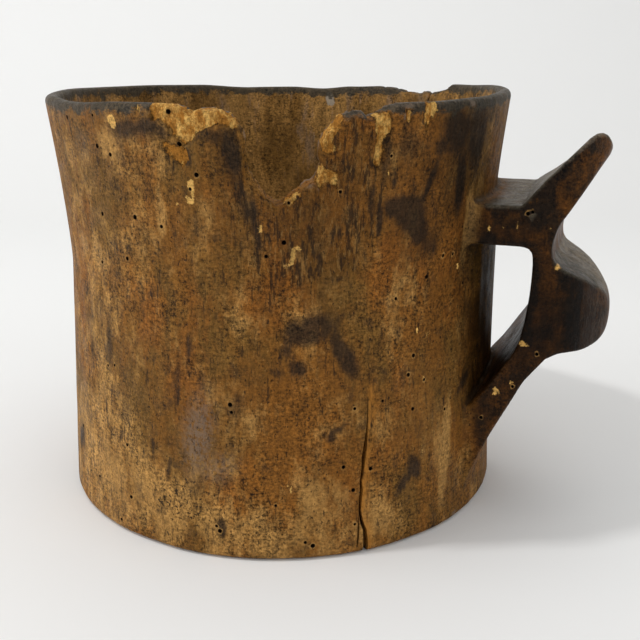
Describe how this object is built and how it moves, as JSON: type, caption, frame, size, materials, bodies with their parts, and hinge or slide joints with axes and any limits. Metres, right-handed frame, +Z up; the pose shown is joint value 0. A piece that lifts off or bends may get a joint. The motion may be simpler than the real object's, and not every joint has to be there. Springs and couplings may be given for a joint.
{
  "type": "wooden mug",
  "caption": "Hollowed-log wooden mug with an integral lobed handle and thumb rest, a set-in bottom board, a broken rim and a drying check.",
  "frame": {"origin": "on the plane the foot stands on, under the middle of the whole mug with its handle; the bowl's axis stands at x = -18.8 mm", "axes": "+Z up along the bowl's axis, +X from the bowl towards the handle, +Y to the far side with the large rim break on the -Y side"},
  "size_m": [0.1982, 0.1604, 0.1422],
  "materials": {
    "carved_wood": "worn, hand-polished, with a dull oily sheen",
    "board_wood": "dry, flat-sawn and stained",
    "pitch": "hardened pitch, semi-gloss"
  },
  "bodies": {
    "root": {"cup_body": "carved_wood", "bottom_board": "board_wood", "pitch_seal": "pitch"}
  },
  "joints": []
}
